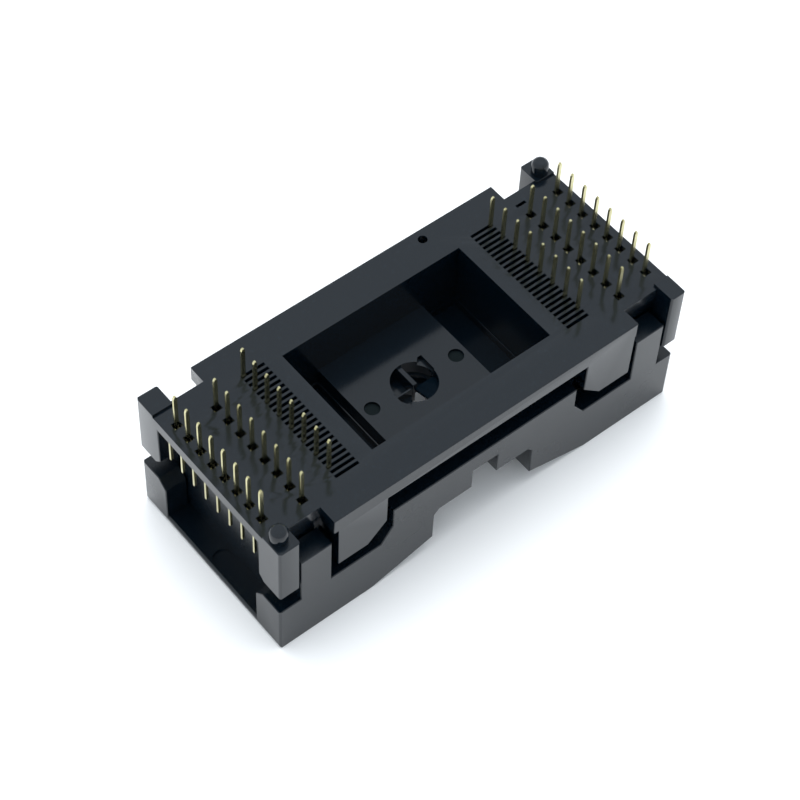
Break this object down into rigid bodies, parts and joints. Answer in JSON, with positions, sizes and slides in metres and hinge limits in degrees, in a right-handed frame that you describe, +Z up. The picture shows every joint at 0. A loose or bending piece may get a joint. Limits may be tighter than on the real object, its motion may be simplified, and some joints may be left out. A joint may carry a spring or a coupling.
{
  "type": "zif socket",
  "caption": "Open-top zero-insertion-force test socket for thin small-outline packages, pins up, with a sprung press cover that opens the contact arms.",
  "frame": {"origin": "centre of the socket's outline, on the plane of the press face on which it lies", "axes": "+X along the long side, +Y across it, +Z up through the solder pins, the way the cover is pressed"},
  "size_m": [0.04, 0.0178, 0.0166],
  "materials": {
    "base_plastic": "moulded, fine matt, black",
    "cover_plastic": "moulded, fine matt, black",
    "seat_plastic": "moulded, fine matt, black",
    "contact_gold": "gold plated, stamped"
  },
  "bodies": {
    "housing": {"base": "base_plastic", "seat": "seat_plastic", "pins_a": "contact_gold", "pins_b": "contact_gold", "pins_c": "contact_gold", "pins_d": "contact_gold", "pins_e": "contact_gold", "pins_f": "contact_gold"},
    "press_cover": {"cover": "cover_plastic"},
    "arms_left": {"arms_a": "contact_gold", "arms_b": "contact_gold", "arms_c": "contact_gold"},
    "arms_right": {"arms_d": "contact_gold", "arms_e": "contact_gold", "arms_f": "contact_gold"}
  },
  "joints": [
    {"name": "cover_press", "type": "slide", "parent": "housing", "child": "press_cover", "axis": [0, 0, 1], "range_m": [0, 0.0015], "stiffness_N_per_m": 400, "springref_m": -0.005},
    {"name": "arms_left_open", "type": "hinge", "parent": "housing", "child": "arms_left", "pos_m": [-0.0132, 0, 0.009], "axis": [0, 1, 0], "range_deg": [0, 19.9]},
    {"name": "arms_right_open", "type": "hinge", "parent": "housing", "child": "arms_right", "pos_m": [0.0132, 0, 0.009], "axis": [0, -1, 0], "range_deg": [0, 19.9]}
  ],
  "couplings": [
    {"joint": "arms_left_open", "follows": "cover_press", "rad_per_m": 230.3},
    {"joint": "arms_right_open", "follows": "cover_press", "rad_per_m": 230.3}
  ]
}
